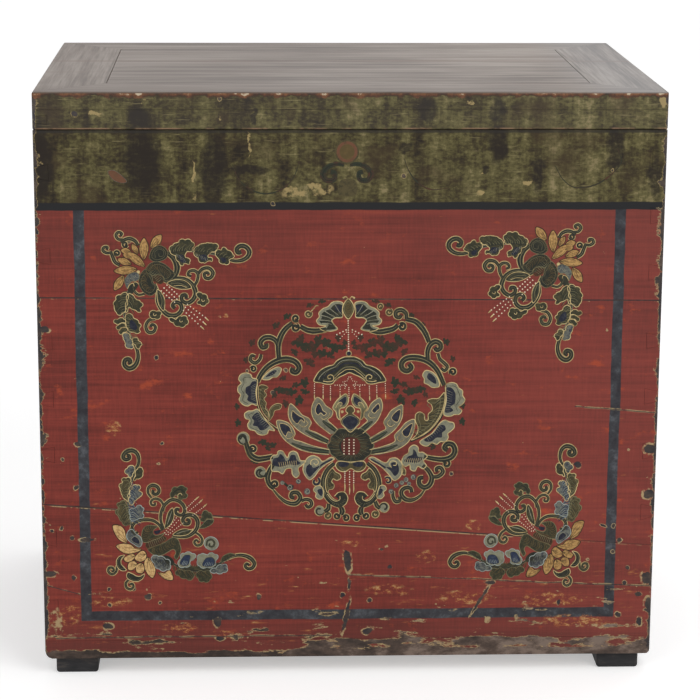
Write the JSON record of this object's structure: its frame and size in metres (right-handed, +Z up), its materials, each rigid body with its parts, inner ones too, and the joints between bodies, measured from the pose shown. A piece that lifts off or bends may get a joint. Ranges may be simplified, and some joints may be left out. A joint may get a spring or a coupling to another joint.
{
  "type": "storage trunk",
  "caption": "Painted storage trunk with a dovetailed board case on low block feet and a framed, panelled lid that lifts on iron hinges at the rear.",
  "frame": {"origin": "on the floor under the middle of the trunk's box", "axes": "+Z up, the painted front faces -Y, +X to the right when facing the front"},
  "size_m": [0.78, 0.5493, 0.7538],
  "materials": {
    "red_lacquer": "worn red lacquer with painted ornament",
    "oxblood_lacquer": "plain worn dark red lacquer",
    "green_paint": "stained and scratched green paint",
    "worn_wood": "grey-brown worn wood",
    "bare_wood": "bare aged wood",
    "black_paint": "worn black paint",
    "dark_iron": "dark wrought iron"
  },
  "bodies": {
    "case": {"front_board_lower": "red_lacquer", "front_board_middle": "red_lacquer", "front_board_upper": "red_lacquer", "rear_board_lower": "oxblood_lacquer", "rear_board_middle": "oxblood_lacquer", "rear_board_upper": "oxblood_lacquer", "left_board_lower": "oxblood_lacquer", "left_board_middle": "oxblood_lacquer", "left_board_upper": "oxblood_lacquer", "right_board_lower": "oxblood_lacquer", "right_board_middle": "oxblood_lacquer", "right_board_upper": "oxblood_lacquer", "bottom_board_front": "red_lacquer", "bottom_board_middle": "bare_wood", "bottom_board_rear": "bare_wood", "foot_front_left": "black_paint", "foot_front_right": "black_paint", "foot_rear_left": "black_paint", "foot_rear_right": "black_paint", "hinge_case_leaf_left": "dark_iron", "hinge_case_leaf_right": "dark_iron", "hinge_pin_left": "dark_iron", "hinge_pin_right": "dark_iron"},
    "lid": {"lid_front_rail": "worn_wood", "lid_rear_rail": "worn_wood", "lid_left_stile": "worn_wood", "lid_right_stile": "worn_wood", "lid_panel_front": "worn_wood", "lid_panel_rear": "worn_wood", "lid_batten_left": "bare_wood", "lid_batten_right": "bare_wood", "lid_skirt_front": "green_paint", "lid_skirt_rear": "green_paint", "lid_skirt_left": "green_paint", "lid_skirt_right": "green_paint", "hinge_lid_leaf_left": "dark_iron", "hinge_lid_leaf_right": "dark_iron"}
  },
  "joints": [
    {"name": "lid_hinge", "type": "hinge", "parent": "case", "child": "lid", "pos_m": [0, 0.27015, 0.7074], "axis": [-1, 0, 0], "range_deg": [0, 100]}
  ]
}
